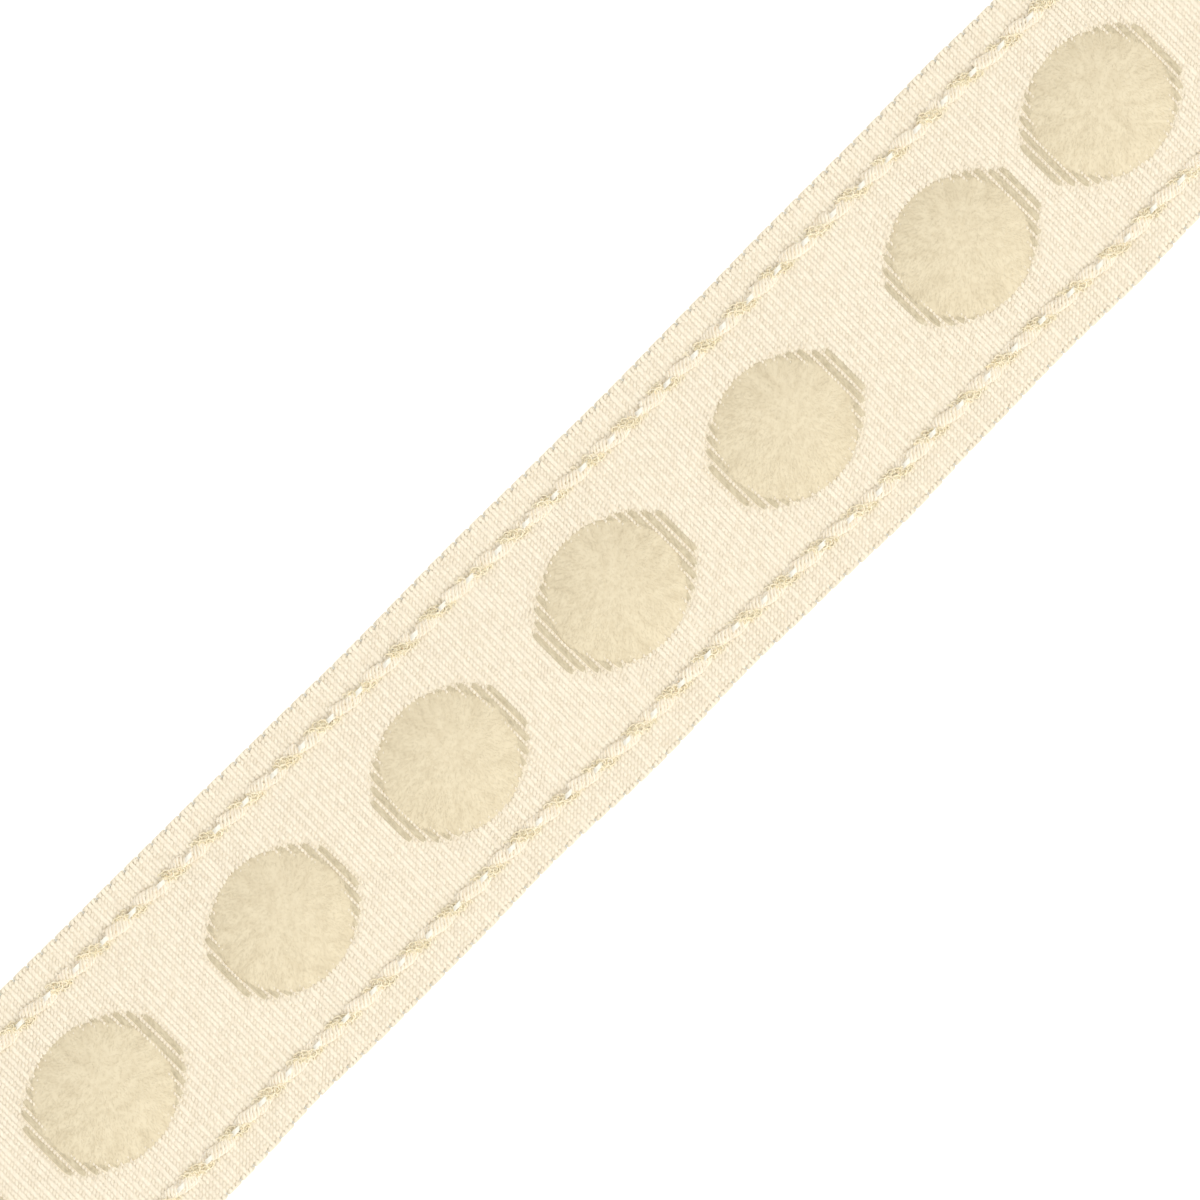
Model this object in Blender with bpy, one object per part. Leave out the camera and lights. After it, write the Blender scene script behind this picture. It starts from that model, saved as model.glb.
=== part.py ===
"""Velvet dot border tape: a cut length of ribbed woven tape, lying flat with its face up.

The tape runs along X, its flat back is at Z = 0 and the origin is under its middle. Ribs cross it
from edge to edge, round dots of cut pile stand in a row down its middle, and a two-ply gimp cord
lies along each side. Sizes are in metres.
"""

import math
from collections import namedtuple

import bmesh
import bpy

MM = 0.001

# Ground tape: ribs are counted along its length, heights are above the flat back.
RIB_PITCH = 1.23 * MM
RIB_COUNT = 198
RIB_CREST_HEIGHT = 1.25 * MM
RIB_GROOVE_DEPTH = 0.35 * MM
SELVEDGE_HEIGHT = 0.85 * MM
SCALLOP_DEPTH = 0.15 * MM
RIBS_PER_SCALLOP = 2
TAPE_LENGTH = RIB_COUNT * RIB_PITCH

# Clear space between two pieces that touch on the real tape.
SEAT_GAP = 0.30 * MM

# Gimp cords: two plies, a little flattened where the cord is stitched down.
GIMP_WIDTH = 2.5 * MM
GIMP_WAIST = 1.3 * MM
GIMP_FLATTENING = 0.48
GIMP_SIDES = 6
GIMP_STEPS_PER_TURN = 7
GIMP_END_SETBACK = 0.3 * MM

# Lanes: the ribs give way along each gimp cord, which lies sunk between their ends.
LANE_FLOOR_HEIGHT = 0.45 * MM
LANE_FLOOR_HALF_WIDTH = GIMP_WIDTH / 2.0 + SEAT_GAP
LANE_LIP_SLOPE = 0.20 * MM

# Pile dots: a dense round pad whose two ends run out in low, sparse rows.
PILE_HEIGHT = 1.25 * MM
PILE_SHOULDER_HEIGHT = 0.90 * MM
PILE_RIM_HEIGHT = 0.30 * MM
PILE_RIM_SLOPE = 0.10 * MM
PILE_SHOULDER_ROUND = 0.55 * MM
PILE_CROWN_RADIUS = 5.0 * MM
PILE_CROWN_DROP = 0.10 * MM
PILE_SEGMENTS = 20
PILE_SQUARENESS = 2.2

# Creases sharper than these stay crisp in the shading.
RIB_CREASE = math.radians(25.0)
GIMP_CREASE = math.radians(70.0)
PILE_CREASE = math.radians(35.0)

# Colours of the yarns, as linear red, green and blue.
GROUND_COLOUR = (0.93, 0.85, 0.68)
GIMP_COLOUR = (0.84, 0.75, 0.54)
PILE_COLOUR = (0.80, 0.72, 0.52)

# Half widths of the woven tape, from its middle line to the far (+Y) and near (-Y) selvedge.
EdgeStation = namedtuple("EdgeStation", "along far near")
EDGE_STATIONS = [
    EdgeStation(along=-121.8 * MM, far=19.2 * MM, near=19.0 * MM),
    EdgeStation(along=-97.4 * MM, far=19.4 * MM, near=19.1 * MM),
    EdgeStation(along=-74.6 * MM, far=19.5 * MM, near=19.3 * MM),
    EdgeStation(along=-67.0 * MM, far=19.4 * MM, near=19.1 * MM),
    EdgeStation(along=-59.4 * MM, far=19.4 * MM, near=18.6 * MM),
    EdgeStation(along=-46.7 * MM, far=19.3 * MM, near=18.9 * MM),
    EdgeStation(along=-30.3 * MM, far=19.1 * MM, near=18.8 * MM),
    EdgeStation(along=-16.3 * MM, far=18.9 * MM, near=18.5 * MM),
    EdgeStation(along=2.7 * MM, far=19.1 * MM, near=19.2 * MM),
    EdgeStation(along=19.1 * MM, far=18.9 * MM, near=18.7 * MM),
    EdgeStation(along=30.5 * MM, far=18.8 * MM, near=19.0 * MM),
    EdgeStation(along=47.0 * MM, far=19.0 * MM, near=19.5 * MM),
    EdgeStation(along=58.4 * MM, far=19.2 * MM, near=19.0 * MM),
    EdgeStation(along=74.9 * MM, far=19.2 * MM, near=18.7 * MM),
    EdgeStation(along=90.1 * MM, far=19.4 * MM, near=19.0 * MM),
    EdgeStation(along=97.7 * MM, far=19.2 * MM, near=18.6 * MM),
    EdgeStation(along=121.8 * MM, far=19.2 * MM, near=18.9 * MM),
]

# Gimp cords by selvedge: side is the sign of Y, inset the distance in from that selvedge, turn
# the length of one full twist and ply_on_top a place where the first ply lies uppermost.
Gimp = namedtuple("Gimp", "name side inset turn ply_on_top")
GIMPS = [
    Gimp(name="gimp_far", side=1, inset=4.7 * MM, turn=6.78 * MM, ply_on_top=16.2 * MM),
    Gimp(name="gimp_near", side=-1, inset=5.0 * MM, turn=6.56 * MM, ply_on_top=16.5 * MM),
]

# Pile dots: middle of each dot, half length with its sparse rows, radius of its dense pad.
PileDot = namedtuple("PileDot", "along across half_length dense_radius")
PILE_DOTS = [
    PileDot(along=-106.0 * MM, across=0.4 * MM, half_length=11.2 * MM, dense_radius=9.1 * MM),
    PileDot(along=-77.1 * MM, across=1.0 * MM, half_length=11.6 * MM, dense_radius=9.2 * MM),
    PileDot(along=-45.6 * MM, across=0.4 * MM, half_length=10.8 * MM, dense_radius=9.0 * MM),
    PileDot(along=-16.5 * MM, across=-0.3 * MM, half_length=11.1 * MM, dense_radius=9.1 * MM),
    PileDot(along=13.7 * MM, across=0.2 * MM, half_length=11.5 * MM, dense_radius=9.1 * MM),
    PileDot(along=43.4 * MM, across=-0.5 * MM, half_length=11.1 * MM, dense_radius=9.1 * MM),
    PileDot(along=75.4 * MM, across=0.0 * MM, half_length=11.0 * MM, dense_radius=9.0 * MM),
    PileDot(along=100.7 * MM, across=0.3 * MM, half_length=11.4 * MM, dense_radius=9.3 * MM),
]


def clear_scene():
    for item in list(bpy.data.objects):
        bpy.data.objects.remove(item, do_unlink=True)


def make_material(name, colour, roughness, sheen):
    material = bpy.data.materials.new(name)
    material.use_nodes = True
    shader = material.node_tree.nodes["Principled BSDF"]
    shader.inputs["Base Color"].default_value = (*colour, 1.0)
    shader.inputs["Roughness"].default_value = roughness
    shader.inputs["Metallic"].default_value = 0.0
    shader.inputs["Sheen Weight"].default_value = sheen
    return material


def smooth_step(fraction):
    return fraction * fraction * (3.0 - 2.0 * fraction)


def edge_at(along, side):
    """Distance from the middle line to one selvedge, eased from station to station."""
    half_widths = [station.far if side > 0 else station.near for station in EDGE_STATIONS]
    for index in range(len(EDGE_STATIONS) - 1):
        start = EDGE_STATIONS[index].along
        end = EDGE_STATIONS[index + 1].along
        if along <= end:
            fraction = min(max((along - start) / (end - start), 0.0), 1.0)
            step = half_widths[index + 1] - half_widths[index]
            return half_widths[index] + step * smooth_step(fraction)
    return half_widths[-1]


def scallop_at(along):
    """Small bulge of the selvedge where the weft turns back, once in every few ribs."""
    period = RIBS_PER_SCALLOP * RIB_PITCH
    return SCALLOP_DEPTH * 0.5 * (1.0 - math.cos(2.0 * math.pi * along / period))


def join_rings(mesh, rings):
    """Skin a closed tube through rings of equal point count, fill its ends, return the last."""
    ring_verts = [[mesh.verts.new(point) for point in ring] for ring in rings]
    for lower, upper in zip(ring_verts, ring_verts[1:]):
        count = len(lower)
        for k in range(count):
            mesh.faces.new((lower[k], lower[(k + 1) % count], upper[(k + 1) % count], upper[k]))
    mesh.faces.new(list(reversed(ring_verts[0])))
    return mesh.faces.new(ring_verts[-1])


def finish_object(name, mesh, material, smooth_angle):
    bmesh.ops.recalc_face_normals(mesh, faces=mesh.faces)
    data = bpy.data.meshes.new(name)
    mesh.to_mesh(data)
    mesh.free()
    data.shade_smooth()
    data.set_sharp_from_angle(angle=smooth_angle)
    data.materials.append(material)
    item = bpy.data.objects.new(name, data)
    bpy.context.scene.collection.objects.link(item)
    return item


def lane_points(along, gimp, top):
    """Lip, floor and lip of one lane across the tape, from its selvedge inwards."""
    floor = LANE_FLOOR_HALF_WIDTH
    lip = floor + LANE_LIP_SLOPE
    middle = edge_at(along, gimp.side) - gimp.inset
    steps = [(lip, top), (floor, LANE_FLOOR_HEIGHT), (-floor, LANE_FLOOR_HEIGHT), (-lip, top)]
    return [(along, gimp.side * (middle + outward), height) for outward, height in steps]


def tape_section(along, is_crest):
    """Outline across the tape at one place: flat back, two selvedges, ribbed top, two lanes."""
    far_gimp, near_gimp = GIMPS
    far = edge_at(along, 1) + scallop_at(along + TAPE_LENGTH / 2.0)
    near = edge_at(along, -1) + scallop_at(along + TAPE_LENGTH / 2.0)
    top = RIB_CREST_HEIGHT if is_crest else RIB_CREST_HEIGHT - RIB_GROOVE_DEPTH
    back = [(along, -near, 0.0), (along, far, 0.0)]
    far_half = [(along, far, SELVEDGE_HEIGHT)] + lane_points(along, far_gimp, top)
    near_half = [(along, -near, SELVEDGE_HEIGHT)] + lane_points(along, near_gimp, top)
    return back + far_half + list(reversed(near_half))


def build_tape(material):
    mesh = bmesh.new()
    sections = []
    for index in range(2 * RIB_COUNT + 1):
        along = -TAPE_LENGTH / 2.0 + index * RIB_PITCH / 2.0
        sections.append(tape_section(along, is_crest=index % 2 == 1))
    join_rings(mesh, sections)
    return finish_object("tape", mesh, material, RIB_CREASE)


def gimp_section(gimp, along):
    """Two lobes side by side, turned about the cord's middle and pressed flat."""
    centre_across = gimp.side * (edge_at(along, gimp.side) - gimp.inset)
    half_height = GIMP_FLATTENING * GIMP_WIDTH / 2.0
    centre_height = LANE_FLOOR_HEIGHT + SEAT_GAP + half_height
    mean_radius = (GIMP_WIDTH + GIMP_WAIST) / 4.0
    lobe = (GIMP_WIDTH - GIMP_WAIST) / 4.0
    turned = math.pi / 2.0 + 2.0 * math.pi * (along - gimp.ply_on_top) / gimp.turn
    section = []
    for k in range(GIMP_SIDES):
        around = 2.0 * math.pi * k / GIMP_SIDES
        radius = mean_radius + lobe * math.cos(2.0 * around)
        across = radius * math.cos(around + turned)
        height = GIMP_FLATTENING * radius * math.sin(around + turned)
        section.append((along, centre_across + across, centre_height + height))
    return section


def build_gimp(gimp, material):
    mesh = bmesh.new()
    length = TAPE_LENGTH - 2.0 * GIMP_END_SETBACK
    steps = math.ceil(length / gimp.turn * GIMP_STEPS_PER_TURN)
    rings = [gimp_section(gimp, -length / 2.0 + length * step / steps) for step in range(steps + 1)]
    join_rings(mesh, rings)
    return finish_object(gimp.name, mesh, material, GIMP_CREASE)


def pile_ring(dot, half_length, half_width, height):
    """One level of a dot: a rounded outline, a little squarer than an ellipse."""
    power = 2.0 / PILE_SQUARENESS
    ring = []
    for k in range(PILE_SEGMENTS):
        around = 2.0 * math.pi * k / PILE_SEGMENTS
        cosine = math.cos(around)
        sine = math.sin(around)
        along = math.copysign(abs(cosine) ** power, cosine) * half_length
        across = math.copysign(abs(sine) ** power, sine) * half_width
        ring.append((dot.along + along, dot.across + across, height))
    return ring


def build_pile_dot(number, dot, material):
    mesh = bmesh.new()
    base = RIB_CREST_HEIGHT + SEAT_GAP
    dense = dot.dense_radius
    shoulder = dense - PILE_SHOULDER_ROUND
    crown_height = base + PILE_HEIGHT - PILE_CROWN_DROP
    rings = [
        pile_ring(dot, dot.half_length, dense, base),
        pile_ring(dot, dot.half_length, dense, base + PILE_RIM_HEIGHT),
        pile_ring(dot, dense, dense - PILE_RIM_SLOPE, base + PILE_RIM_HEIGHT + PILE_RIM_SLOPE),
        pile_ring(dot, shoulder, shoulder, base + PILE_SHOULDER_HEIGHT),
        pile_ring(dot, PILE_CROWN_RADIUS, PILE_CROWN_RADIUS, crown_height),
    ]
    cap = join_rings(mesh, rings)
    crown = bmesh.ops.poke(mesh, faces=[cap])["verts"][0]
    crown.co.z = base + PILE_HEIGHT
    return finish_object(f"pile_dot_{number}", mesh, material, PILE_CREASE)


def build_all():
    clear_scene()
    ground = make_material("cream_ribbed_weave", GROUND_COLOUR, roughness=0.72, sheen=0.15)
    gimp_yarn = make_material("beige_gimp_yarn", GIMP_COLOUR, roughness=0.55, sheen=0.20)
    pile = make_material("beige_cut_pile", PILE_COLOUR, roughness=0.90, sheen=0.45)
    build_tape(ground)
    for gimp in GIMPS:
        build_gimp(gimp, gimp_yarn)
    for number, dot in enumerate(PILE_DOTS, start=1):
        build_pile_dot(number, dot, pile)


build_all()
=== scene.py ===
# %% [markdown]
# # A velvet dot border tape, thread by thread
# The real object is a cut length of woven trimming, the kind sewn along the edge of a curtain or a
# cushion. A cream tape is crossed by fine ribs. Round dots of cut pile stand in a row down its
# middle, and a twisted gimp cord is stitched down along each side. This lesson dresses a plain model
# of that tape, in metres, so that every thread you can see from a step away is a thread in the mesh.

# %% Load the fixed frame
import functools
import math

import bpy
import numpy as np
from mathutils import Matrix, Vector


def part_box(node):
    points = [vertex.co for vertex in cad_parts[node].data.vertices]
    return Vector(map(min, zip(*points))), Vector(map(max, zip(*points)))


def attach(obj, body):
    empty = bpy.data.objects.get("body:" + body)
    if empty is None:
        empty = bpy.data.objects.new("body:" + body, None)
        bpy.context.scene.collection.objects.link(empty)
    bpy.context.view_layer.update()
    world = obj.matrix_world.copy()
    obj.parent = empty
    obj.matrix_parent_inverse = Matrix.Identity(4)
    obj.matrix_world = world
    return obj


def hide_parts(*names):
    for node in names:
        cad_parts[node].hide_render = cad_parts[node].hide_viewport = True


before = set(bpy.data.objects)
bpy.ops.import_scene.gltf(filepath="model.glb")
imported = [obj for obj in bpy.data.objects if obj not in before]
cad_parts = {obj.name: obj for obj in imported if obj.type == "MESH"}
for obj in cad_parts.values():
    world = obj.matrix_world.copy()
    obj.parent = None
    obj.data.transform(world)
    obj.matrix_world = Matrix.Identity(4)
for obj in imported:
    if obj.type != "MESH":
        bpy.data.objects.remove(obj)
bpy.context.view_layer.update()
MM = 0.001
print("frame nodes:", sorted(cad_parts))

# %% [markdown]
# ## Read the tape's outline
# A woven tape is never quite straight, and its edges wander by half a millimetre. We could type that
# outline in again, but then two files would have to agree. Reading it from the flat back of the
# frame's own solid is safer: the sections along it also tell us how many ribs there are.

# %% Outline, rib pitch and lanes
SAME_PLACE = 0.05 * MM
DIGITS_KEPT = 7
SECTIONS_PER_RIB = 2
RIBS_PER_SCALLOP = 2

back_points = np.array([v.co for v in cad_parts["tape"].data.vertices])
back_points = back_points[back_points[:, 2] < SAME_PLACE]
section_places = np.unique(np.round(back_points[:, 0], DIGITS_KEPT))
section_steps = np.diff(section_places)
closest_sections = float(section_steps[section_steps > SAME_PLACE].min())
TAPE_START = float(section_places[0])
TAPE_LENGTH = float(section_places[-1]) - TAPE_START
RIB_COUNT = round(TAPE_LENGTH / (SECTIONS_PER_RIB * closest_sections))
RIB_PITCH = TAPE_LENGTH / RIB_COUNT
SCALLOP_PITCH = RIBS_PER_SCALLOP * RIB_PITCH
SCALLOP_COUNT = RIB_COUNT // RIBS_PER_SCALLOP

notch_places = TAPE_START + SCALLOP_PITCH * np.arange(SCALLOP_COUNT + 1)
notch_sections = [back_points[np.abs(back_points[:, 0] - x) < SAME_PLACE] for x in notch_places]
far_edge = np.array([section[:, 1].max() for section in notch_sections])
near_edge = np.array([section[:, 1].min() for section in notch_sections])

FAR, NEAR = 1, -1
LANE_INSET = {FAR: 4.7 * MM, NEAR: 5.0 * MM}


def edge_at(x, side):
    """Y of one selvedge at a place along the tape."""
    return np.interp(x, notch_places, far_edge if side == FAR else near_edge)


def lane_at(x, side):
    """Y of the middle of one gimp lane."""
    return edge_at(x, side) - side * LANE_INSET[side]


print(f"{RIB_COUNT} ribs, {RIB_PITCH / MM:.3f} mm apart, tape {TAPE_LENGTH / MM:.1f} mm long")

# %% [markdown]
# ## Set up the view
# The photograph looks straight down on the tape, which crosses the picture from corner to corner. A
# long lens from high up keeps everything in true proportion. Rolling the camera by 45 degrees turns
# the tape instead of moving it. The floor is plain white, lit softly from everywhere, with one large
# lamp on the near side, because the small shadows in the weave fall towards the far side. Two small
# helpers come first: one makes a mesh, and the other puts an object into the scene.

# %% Meshes and objects
scene = bpy.context.scene


def new_mesh(name, points, edges, faces):
    """A mesh of some points and of the edges or faces between them."""
    mesh = bpy.data.meshes.new(name)
    mesh.from_pydata(points, edges, faces)
    return mesh


def new_object(name, data):
    """An object in the scene, for a mesh, a camera or a lamp."""
    made = bpy.data.objects.new(name, data)
    scene.collection.objects.link(made)
    return made


print("objects go into the scene called", scene.name)

# %% Camera
PHOTO_WIDTH = 152.0 * MM
VIEW_CENTRE = (11.5 * MM, 0.8 * MM)
CAMERA_HEIGHT = 1.2
CAMERA_ROLL = math.radians(-45.0)
NEAREST_SEEN = 0.05

camera_data = bpy.data.cameras.new("straight_down")
camera_data.lens = camera_data.sensor_width * CAMERA_HEIGHT / PHOTO_WIDTH
camera_data.clip_start = NEAREST_SEEN
camera = new_object("straight_down", camera_data)
camera.location = (*VIEW_CENTRE, CAMERA_HEIGHT)
camera.rotation_euler = (0.0, 0.0, CAMERA_ROLL)
scene.camera = camera
print(f"camera {CAMERA_HEIGHT} m up, lens {camera_data.lens:.0f} mm")

# %% Floor and light
WHITE = (1.0, 1.0, 1.0, 1.0)
PAPER_WHITE = (0.96, 0.96, 0.96, 1.0)
PAPER_ROUGHNESS = 0.9
PAPER_GLOSS = 0.1
PAPER_GLOW = 0.35
FLOOR_SIZE = 8.0
FLOOR_DROP = 0.02 * MM
SKY_STRENGTH = 0.97
KEY_PLACE = (0.10, -0.85, 0.75)
KEY_SIZE = 0.55
KEY_POWER = 4.2


def add_floor():
    """A wide square of white paper just under the tape."""
    half = FLOOR_SIZE / 2.0
    corners = [(-half, -half), (half, -half), (half, half), (-half, half)]
    data = new_mesh("floor", [(x, y, -FLOOR_DROP) for x, y in corners], [], [(0, 1, 2, 3)])
    paper = bpy.data.materials.new("white_paper")
    paper.use_nodes = True
    shader = paper.node_tree.nodes["Principled BSDF"]
    shader.inputs["Base Color"].default_value = PAPER_WHITE
    shader.inputs["Roughness"].default_value = PAPER_ROUGHNESS
    shader.inputs["Specular IOR Level"].default_value = PAPER_GLOSS
    shader.inputs["Emission Color"].default_value = WHITE
    shader.inputs["Emission Strength"].default_value = PAPER_GLOW
    data.materials.append(paper)
    floor = new_object("floor", data)


def add_lights():
    """An even white sky, and one large lamp that faces the tape."""
    world = bpy.data.worlds.new("soft_white_room")
    world.use_nodes = True
    sky = world.node_tree.nodes["Background"]
    sky.inputs["Color"].default_value = WHITE
    sky.inputs["Strength"].default_value = SKY_STRENGTH
    scene.world = world
    lamp = bpy.data.lights.new("key", "AREA")
    lamp.size = KEY_SIZE
    lamp.energy = KEY_POWER
    key = new_object("key", lamp)
    key.location = KEY_PLACE
    x, y, z = KEY_PLACE
    key.rotation_euler = (math.atan2(math.hypot(x, y), z), 0.0, math.atan2(y, x) + math.pi / 2.0)


add_floor()
add_lights()
scene.view_settings.view_transform = "Standard"
print("floor and one key light added")

# %% [markdown]
# ## Helpers for node trees
# Both materials and Geometry Nodes are graphs. Written out node by node they are long and dull, so
# small helpers do the wiring. The first ones add a node, a sum or a vector. The next ones open and
# close a tree, and sweep or scatter what a tree is fed with. The last ones run a finished tree on a
# guide mesh, keep the result as a plain mesh, ready to travel, and join such meshes into a piece.

# %% Nodes and sums
MIDDLE = 0.5
MIDDLE_COLOUR = (MIDDLE, MIDDLE, MIDDLE)


def add_node(tree, kind, inputs=None, **settings):
    """Add a node; an input is either a plain value or another node's output."""
    made = tree.nodes.new(kind)
    for key, value in settings.items():
        setattr(made, key, value)
    for key, value in (inputs or {}).items():
        socket = made.inputs[key]
        if isinstance(value, bpy.types.NodeSocket):
            tree.links.new(value, socket)
        else:
            socket.default_value = value
    return made


def sum_of(tree, operation, *values):
    """One Math node, such as ADD, MULTIPLY or SINE, and its result."""
    return add_node(tree, "ShaderNodeMath", dict(enumerate(values)), operation=operation).outputs[0]


def sums(tree, *operations):
    """Short functions for the sums that one tree uses often."""
    return [functools.partial(sum_of, tree, operation) for operation in operations]


def vector_sum(tree, operation, *values):
    """One Vector Math node and its result."""
    inputs = dict(enumerate(values))
    return add_node(tree, "ShaderNodeVectorMath", inputs, operation=operation).outputs[0]


def scaled(tree, vector, factor):
    """A vector times a number."""
    inputs = {0: vector, "Scale": factor}
    return add_node(tree, "ShaderNodeVectorMath", inputs, operation="SCALE").outputs[0]


def xyz(tree, **parts):
    """A vector of the parts that are given; any other part is nought."""
    return add_node(tree, "ShaderNodeCombineXYZ", parts).outputs[0]


def part_of(tree, vector, axis):
    """One part of a vector: its X, Y or Z."""
    return add_node(tree, "ShaderNodeSeparateXYZ", {0: vector}).outputs[axis]


def drift(tree, reach, **noise):
    """A soft random shift: a noise texture's colour about its middle, times a reach."""
    colour = add_node(tree, "ShaderNodeTexNoise", noise).outputs["Color"]
    return scaled(tree, vector_sum(tree, "SUBTRACT", colour, MIDDLE_COLOUR), reach)


print("node helpers ready")

# %% Trees and what they are fed with
TONE = "tone"
COMBED = "combed"


def start_tree(name, numbers, counts=()):
    """A Geometry Nodes tree with named inputs: a guide, numbers, counts and a finish."""
    tree = bpy.data.node_groups.new(name, "GeometryNodeTree")
    sockets = [("Guide", "Geometry")] + [(label, "Float") for label in numbers]
    sockets += [(label, "Int") for label in counts] + [("Finish", "Material")]
    for label, kind in sockets:
        tree.interface.new_socket(label, in_out="INPUT", socket_type="NodeSocket" + kind)
    tree.interface.new_socket("Result", in_out="OUTPUT", socket_type="NodeSocketGeometry")
    return tree, tree.nodes.new("NodeGroupInput").outputs


def end_tree(tree, geometry, finish):
    """Close a tree: make instances real, shade smooth, set the material."""
    real = add_node(tree, "GeometryNodeRealizeInstances", {"Geometry": geometry})
    smooth = add_node(tree, "GeometryNodeSetShadeSmooth", {"Geometry": real.outputs[0]})
    inputs = {"Geometry": smooth.outputs[0], "Material": finish}
    painted = add_node(tree, "GeometryNodeSetMaterial", inputs)
    out = tree.nodes.new("NodeGroupOutput")
    tree.links.new(painted.outputs[0], out.inputs[0])


def steps_along(tree, guide, step):
    """The guide's lines as curves, with a point at every step."""
    curve = add_node(tree, "GeometryNodeMeshToCurve", {"Mesh": guide})
    inputs = {"Curve": curve.outputs[0], "Length": step}
    return add_node(tree, "GeometryNodeResampleCurve", inputs, mode="LENGTH").outputs[0]


def shifted(tree, geometry, offset):
    """A geometry with each of its points moved."""
    inputs = {"Geometry": geometry, "Offset": offset}
    return add_node(tree, "GeometryNodeSetPosition", inputs).outputs[0]


def swept(tree, curve, sides, radius):
    """A round thread along a curve, closed at both ends."""
    inputs = {"Resolution": sides, "Radius": radius}
    profile = add_node(tree, "GeometryNodeCurvePrimitiveCircle", inputs)
    inputs = {"Curve": curve, "Profile Curve": profile.outputs[0], "Fill Caps": True}
    return add_node(tree, "GeometryNodeCurveToMesh", inputs).outputs[0]


def copies_at(tree, points, shape, **more):
    """Copies of one shape, one at each point."""
    inputs = {"Points": points, "Instance": shape, **more}
    return add_node(tree, "GeometryNodeInstanceOnPoints", inputs).outputs[0]


def random_number(tree, seed, low=0.0, high=1.0):
    """A random number for each point or instance."""
    inputs = {2: low, 3: high, "Seed": seed}
    return add_node(tree, "FunctionNodeRandomValue", inputs, data_type="FLOAT").outputs[1]


def with_value(tree, geometry, name, value, kind, domain):
    """Store a value of its own on each point or instance, which its finish can read."""
    inputs = {"Geometry": geometry, "Name": name, "Value": value}
    settings = {"data_type": kind, "domain": domain}
    return add_node(tree, "GeometryNodeStoreNamedAttribute", inputs, **settings).outputs[0]


print("tree helpers ready")

# %% Guides, plain meshes and pieces


def line_mesh(name, lines):
    """A guide of separate polylines, or of lone points where a line has one point."""
    points, edges = [], []
    for line in lines:
        edges += [(len(points) + k, len(points) + k + 1) for k in range(len(line) - 1)]
        points += [tuple(map(float, point)) for point in line]
    return new_mesh(name, points, edges, [])


def skin(name, points, count):
    """Closed rings of so many points each, skinned one to the next and closed at both ends."""
    faces = [tuple(reversed(range(count)))]
    for start in range(0, len(points) - count, count):
        for k in range(count):
            after = (k + 1) % count
            faces.append((start + k, start + after, start + count + after, start + count + k))
    faces.append(tuple(range(len(points) - count, len(points))))
    return new_mesh(name, points, [], faces)


def grow(name, guide, tree, **values):
    """Run a tree on a guide mesh and return the result's plain mesh."""
    holder = new_object(name + "_guide", guide)
    modifier = holder.modifiers.new("grow", "NODES")
    modifier.node_group = tree
    for item in tree.interface.items_tree:
        if item.item_type == "SOCKET" and item.in_out == "INPUT" and item.name in values:
            modifier[item.identifier] = values[item.name]
    graph = bpy.context.evaluated_depsgraph_get()
    mesh = bpy.data.meshes.new_from_object(holder.evaluated_get(graph))
    mesh.name = name
    bpy.data.objects.remove(holder, do_unlink=True)
    return mesh


def triangles_in(piece):
    """How many triangles a piece has."""
    return sum(len(face.vertices) - 2 for face in piece.data.polygons)


def join_meshes(name, meshes):
    """Plain meshes as one object, which rides on the tape's only body."""
    first = new_object(name, meshes[0])
    others = [new_object(name + "_part", mesh) for mesh in meshes[1:]]
    if others:
        with bpy.context.temp_override(active_object=first, selected_editable_objects=[first, *others]):
            bpy.ops.object.join()
    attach(first, "root")
    print(f"{name}: {triangles_in(first)} triangles")
    return first


print("mesh helpers ready")

# %% [markdown]
# ## Yarn finishes
# Cloth looks like cloth because of three things: a matt body, a faint sheen where fibres catch the
# light, and colour that is never quite even. One function builds all the yarns from the same
# recipe, so that each finish below is only a short list of what differs. The fine thread lines are
# bump, because they are smaller than the threads that we model. Yarn is not solid either: light goes
# in and comes out a little further on, which softens and warms the gaps. Subsurface does that.

# %% One recipe for every yarn
PATCH_DETAIL = 3.0
DEEP_BELOW = 0.32
LIGHT_ABOVE = 0.62
THREAD_BUMP = 0.5
YARN_GLOSS = 0.25
SHEEN_ROUGHNESS = 0.4
SCATTER_DEPTH = 0.22 * MM
SCATTER_TINT = (1.0, 0.85, 0.65)


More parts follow.
